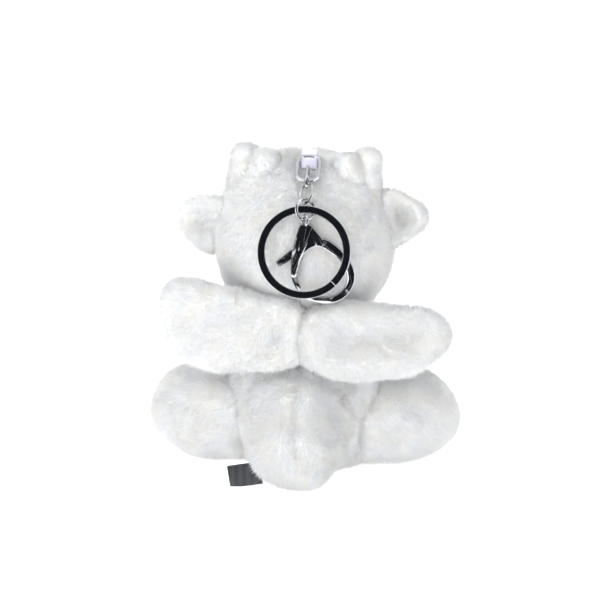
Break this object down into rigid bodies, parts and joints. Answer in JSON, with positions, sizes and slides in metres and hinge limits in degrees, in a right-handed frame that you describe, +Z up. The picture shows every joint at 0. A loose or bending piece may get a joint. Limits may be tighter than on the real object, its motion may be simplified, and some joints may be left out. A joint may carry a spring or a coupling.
{
  "type": "plush keychain",
  "caption": "Seated plush dragon with antlers, ears, wings and a stub tail; a ribbon tab on its crown carries a chain, a split ring and a lobster clasp.",
  "frame": {"origin": "middle of the flat base panel under the torso, which the toy sits on", "axes": "+Z up, the toy faces +Y, its wings, tail and key ring are on the -Y side, +X towards the toy's right wing"},
  "size_m": [0.1024, 0.0744, 0.1122],
  "materials": {
    "plush_fabric": "short white pile",
    "stuffing": "loose fibre fill",
    "eye_plastic": "polished",
    "washer_plastic": "moulded",
    "nose_thread": "satin stitch",
    "woven_label": "woven",
    "satin_ribbon": "satin weave",
    "nickel": "polished plating",
    "spring_steel": "drawn wire"
  },
  "bodies": {
    "plush": {"head_panel_left": "plush_fabric", "head_panel_right": "plush_fabric", "head_stuffing": "stuffing", "eye_left": "eye_plastic", "eye_right": "eye_plastic", "eye_washer_left": "washer_plastic", "eye_washer_right": "washer_plastic", "muzzle": "plush_fabric", "nose_patch": "nose_thread", "torso_back_left": "plush_fabric", "torso_back_right": "plush_fabric", "torso_belly": "plush_fabric", "torso_base": "plush_fabric", "torso_stuffing": "stuffing", "antler_left": "plush_fabric", "antler_right": "plush_fabric", "leg_left": "plush_fabric", "leg_right": "plush_fabric", "arm_left": "plush_fabric", "arm_right": "plush_fabric", "tail": "plush_fabric", "side_label": "woven_label", "tab_ribbon": "satin_ribbon"},
    "ear_left": {"ear_left": "plush_fabric"},
    "ear_right": {"ear_right": "plush_fabric"},
    "wing_left": {"wing_left": "plush_fabric"},
    "wing_right": {"wing_right": "plush_fabric"},
    "tab_ring": {"tab_ring": "nickel"},
    "link_upper": {"link_upper": "nickel"},
    "link_lower": {"link_lower": "nickel"},
    "jump_ring": {"jump_ring": "nickel"},
    "key_ring": {"key_ring": "nickel"},
    "clasp": {"clasp_body": "nickel", "clasp_pin": "nickel", "clasp_spring": "spring_steel"},
    "gate": {"clasp_gate": "nickel"}
  },
  "joints": [
    {"name": "tab_ring_swing", "type": "hinge", "parent": "plush", "child": "tab_ring", "pos_m": [0.0026, -0.0097, 0.1093], "axis": [-1, 0, 0], "range_deg": [0, 30]},
    {"name": "link_upper_swing", "type": "hinge", "parent": "tab_ring", "child": "link_upper", "pos_m": [0.0026, -0.01798, 0.10301], "axis": [-1, 0, 0], "range_deg": [0, 12]},
    {"name": "link_lower_swing", "type": "hinge", "parent": "link_upper", "child": "link_lower", "pos_m": [0.0026, -0.01906, 0.10197], "axis": [-1, 0, 0], "range_deg": [0, 25]},
    {"name": "jump_ring_swing", "type": "hinge", "parent": "link_lower", "child": "jump_ring", "pos_m": [0.0026, -0.02505, 0.09712], "axis": [-1, 0, 0], "range_deg": [0, 15]},
    {"name": "key_ring_swing", "type": "hinge", "parent": "jump_ring", "child": "key_ring", "pos_m": [0.0026, -0.02569, 0.09514], "axis": [-1, 0, 0], "range_deg": [0, 22]},
    {"name": "clasp_swing", "type": "hinge", "parent": "jump_ring", "child": "clasp", "pos_m": [0.0026, -0.02669, 0.09205], "axis": [0, -1, 0], "range_deg": [-7, 7]},
    {"name": "clasp_gate_hinge", "type": "hinge", "parent": "clasp", "child": "gate", "pos_m": [0.0007, -0.02669, 0.08145], "axis": [0, -1, 0], "range_deg": [0, 20], "stiffness_Nm_per_rad": 0.004},
    {"name": "wing_left_flap", "type": "hinge", "parent": "plush", "child": "wing_left", "pos_m": [0.0003, -0.0215, 0.053], "axis": [0, 0, 1], "range_deg": [0, 15], "stiffness_Nm_per_rad": 0.004},
    {"name": "wing_right_flap", "type": "hinge", "parent": "plush", "child": "wing_right", "pos_m": [0.0013, -0.0215, 0.0505], "axis": [0, 0, -1], "range_deg": [0, 15], "stiffness_Nm_per_rad": 0.004},
    {"name": "ear_left_flex", "type": "hinge", "parent": "plush", "child": "ear_left", "pos_m": [-0.0275, -0.0005, 0.0835], "axis": [0, 0, 1], "range_deg": [-12, 12], "stiffness_Nm_per_rad": 0.001},
    {"name": "ear_right_flex", "type": "hinge", "parent": "plush", "child": "ear_right", "pos_m": [0.0273, -0.0005, 0.087], "axis": [0, 0, 1], "range_deg": [-12, 12], "stiffness_Nm_per_rad": 0.001}
  ]
}
